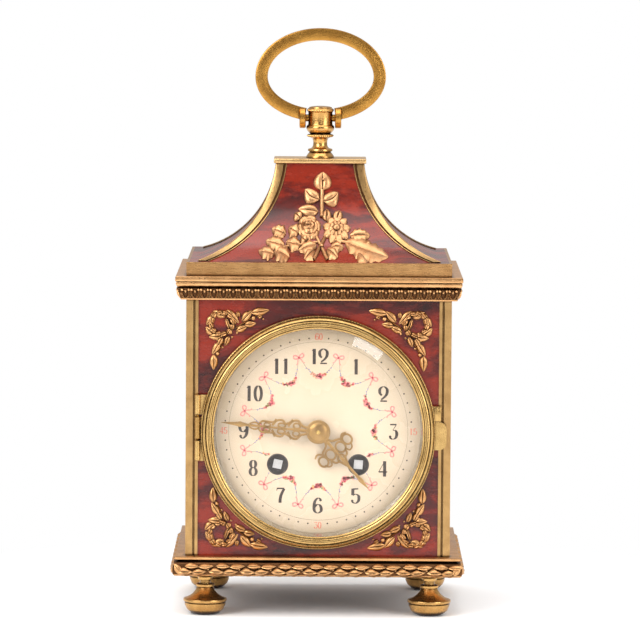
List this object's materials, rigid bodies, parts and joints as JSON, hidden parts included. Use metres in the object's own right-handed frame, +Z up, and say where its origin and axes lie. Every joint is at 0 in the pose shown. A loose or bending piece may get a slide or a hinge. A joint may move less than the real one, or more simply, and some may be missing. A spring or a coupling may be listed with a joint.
{
  "type": "officer clock",
  "caption": "Spring-driven travelling clock in a footed shell-veneered case with gilt mounts, concave hood, folding handle, hinged glazed bezel and enamel dial.",
  "frame": {"origin": "middle of the footprint, at the level that the feet stand on", "axes": "+Z up; the dial faces -Y; +X to the right as the dial is seen"},
  "size_m": [0.1294, 0.1128, 0.2583],
  "materials": {
    "cast_gilt": "cast, chased and gilt, dark in its hollows",
    "gilt_brass": "turned or drawn brass, gilt, worn",
    "strip_brass": "drawn sheet brass, dulled",
    "shell_veneer": "polished red shell veneer",
    "wood": "plain carcass wood",
    "bezel_brass": "turned and milled brass, lacquered",
    "silvered_brass": "silvered, polished",
    "glass": "bevelled clear glass",
    "enamel": "cream enamel on copper",
    "hand_gilt": "pierced and gilt",
    "steel": "bright steel",
    "plate_brass": "clean movement brass",
    "bell_metal": "turned bell metal"
  },
  "bodies": {
    "case": {"back_panel": "shell_veneer", "back_plate": "plate_brass", "base_board": "wood", "base_moulding": "cast_gilt", "bell": "bell_metal", "bell_stand": "steel", "bezel_hinge_pin": "steel", "carcass": "wood", "corner_posts": "strip_brass", "cornice_moulding": "cast_gilt", "dial": "enamel", "dial_plate": "plate_brass", "dial_surround": "silvered_brass", "escapement_platform": "plate_brass", "foot_back_left": "gilt_brass", "foot_back_right": "gilt_brass", "foot_front_left": "gilt_brass", "foot_front_right": "gilt_brass", "front_panel": "shell_veneer", "front_plate": "plate_brass", "handle_head": "gilt_brass", "handle_pedestal": "gilt_brass", "hood_back_panel": "shell_veneer", "hood_bouquet": "cast_gilt", "hood_core": "wood", "hood_corner_strips": "strip_brass", "hood_fascia": "strip_brass", "hood_front_panel": "shell_veneer", "hood_left_panel": "shell_veneer", "hood_right_panel": "shell_veneer", "left_panel": "shell_veneer", "movement_straps": "plate_brass", "pillars": "plate_brass", "rear_ring": "bezel_brass", "right_panel": "shell_veneer", "top_plate": "gilt_brass", "wreath_mounts": "cast_gilt"},
    "handle": {"handle_bail": "gilt_brass", "handle_pin": "steel"},
    "bezel": {"bezel_ring": "bezel_brass", "bezel_glass": "glass"},
    "back_door": {"back_door": "bezel_brass"},
    "minute_arbor": {"centre_wheel": "plate_brass", "cannon_pinion": "plate_brass", "minute_hand": "hand_gilt"},
    "minute_wheel": {"minute_wheel": "plate_brass"},
    "hour_wheel": {"hour_wheel": "plate_brass", "hour_hand": "hand_gilt"},
    "intermediate_wheel": {"intermediate_wheel": "plate_brass"},
    "going_barrel": {"going_barrel": "plate_brass"},
    "third_wheel": {"third_wheel": "plate_brass"},
    "contrate_wheel": {"contrate_wheel": "plate_brass"},
    "going_arbor": {"going_arbor": "steel"},
    "strike_arbor": {"strike_arbor": "steel"},
    "strike_barrel": {"strike_barrel": "plate_brass"},
    "strike_second_wheel": {"strike_second_wheel": "plate_brass"},
    "pin_wheel": {"pin_wheel": "plate_brass"},
    "fly": {"fly": "plate_brass"},
    "hammer": {"hammer": "steel"},
    "balance": {"balance": "plate_brass"}
  },
  "joints": [
    {"name": "handle_swing", "type": "hinge", "parent": "case", "child": "handle", "pos_m": [0, 0, 0.2181], "axis": [1, 0, 0], "range_deg": [-148, 148]},
    {"name": "bezel_opening", "type": "hinge", "parent": "case", "child": "bezel", "pos_m": [-0.053, -0.0518, 0.082], "axis": [0, 0, -1], "range_deg": [0, 120]},
    {"name": "back_door_opening", "type": "hinge", "parent": "case", "child": "back_door", "pos_m": [0.0504, 0.0517, 0.082], "axis": [0, 0, -1], "range_deg": [0, 120]},
    {"name": "minute_hand_spin", "type": "hinge", "parent": "case", "child": "minute_arbor", "pos_m": [0, 0, 0.082], "axis": [0, 1, 0], "continuous": true},
    {"name": "minute_wheel_spin", "type": "hinge", "parent": "case", "child": "minute_wheel", "pos_m": [0, 0, 0.088], "axis": [0, 1, 0], "continuous": true},
    {"name": "hour_hand_spin", "type": "hinge", "parent": "case", "child": "hour_wheel", "pos_m": [0, 0, 0.082], "axis": [0, 1, 0], "continuous": true},
    {"name": "intermediate_spin", "type": "hinge", "parent": "case", "child": "intermediate_wheel", "pos_m": [0.01176, 0, 0.08543], "axis": [0, 1, 0], "continuous": true},
    {"name": "going_barrel_spin", "type": "hinge", "parent": "case", "child": "going_barrel", "pos_m": [0.0178, 0, 0.0672], "axis": [0, 1, 0], "continuous": true},
    {"name": "third_wheel_spin", "type": "hinge", "parent": "case", "child": "third_wheel", "pos_m": [-0.00347, 0, 0.09336], "axis": [0, 1, 0], "continuous": true},
    {"name": "contrate_wheel_spin", "type": "hinge", "parent": "case", "child": "contrate_wheel", "pos_m": [0.00048, 0, 0.10276], "axis": [0, 1, 0], "continuous": true},
    {"name": "going_winding", "type": "hinge", "parent": "case", "child": "going_arbor", "pos_m": [0.0178, 0, 0.0672], "axis": [0, 1, 0], "range_deg": [0, 1440]},
    {"name": "strike_winding", "type": "hinge", "parent": "case", "child": "strike_arbor", "pos_m": [-0.0178, 0, 0.0672], "axis": [0, 1, 0], "range_deg": [0, 1440]},
    {"name": "strike_barrel_spin", "type": "hinge", "parent": "case", "child": "strike_barrel", "pos_m": [-0.0178, 0, 0.0672], "axis": [0, 1, 0], "continuous": true},
    {"name": "strike_second_spin", "type": "hinge", "parent": "case", "child": "strike_second_wheel", "pos_m": [-0.01176, 0, 0.08543], "axis": [0, 1, 0], "continuous": true},
    {"name": "pin_wheel_spin", "type": "hinge", "parent": "case", "child": "pin_wheel", "pos_m": [-0.01636, 0, 0.09529], "axis": [0, 1, 0], "continuous": true},
    {"name": "fly_spin", "type": "hinge", "parent": "case", "child": "fly", "pos_m": [-0.01212, 0, 0.10263], "axis": [0, 1, 0], "continuous": true},
    {"name": "hammer_lift", "type": "hinge", "parent": "case", "child": "hammer", "pos_m": [-0.025, 0, 0.105], "axis": [0, 1, 0], "range_deg": [0, 18]},
    {"name": "balance_swing", "type": "hinge", "parent": "case", "child": "balance", "pos_m": [0.004, -0.0194, 0.117], "axis": [0, 0, 1], "range_deg": [-135, 135]}
  ],
  "couplings": [
    {"joint": "third_wheel_spin", "follows": "contrate_wheel_spin", "ratio": -0.13333},
    {"joint": "minute_hand_spin", "follows": "contrate_wheel_spin", "ratio": 0.016667},
    {"joint": "minute_wheel_spin", "follows": "contrate_wheel_spin", "ratio": -0.0055556},
    {"joint": "hour_hand_spin", "follows": "contrate_wheel_spin", "ratio": 0.0013889},
    {"joint": "intermediate_spin", "follows": "contrate_wheel_spin", "ratio": -0.0027778},
    {"joint": "going_barrel_spin", "follows": "contrate_wheel_spin", "ratio": 0.000323},
    {"joint": "pin_wheel_spin", "follows": "fly_spin", "ratio": -0.12},
    {"joint": "strike_second_spin", "follows": "fly_spin", "ratio": 0.016},
    {"joint": "strike_barrel_spin", "follows": "fly_spin", "ratio": -0.0018605}
  ]
}
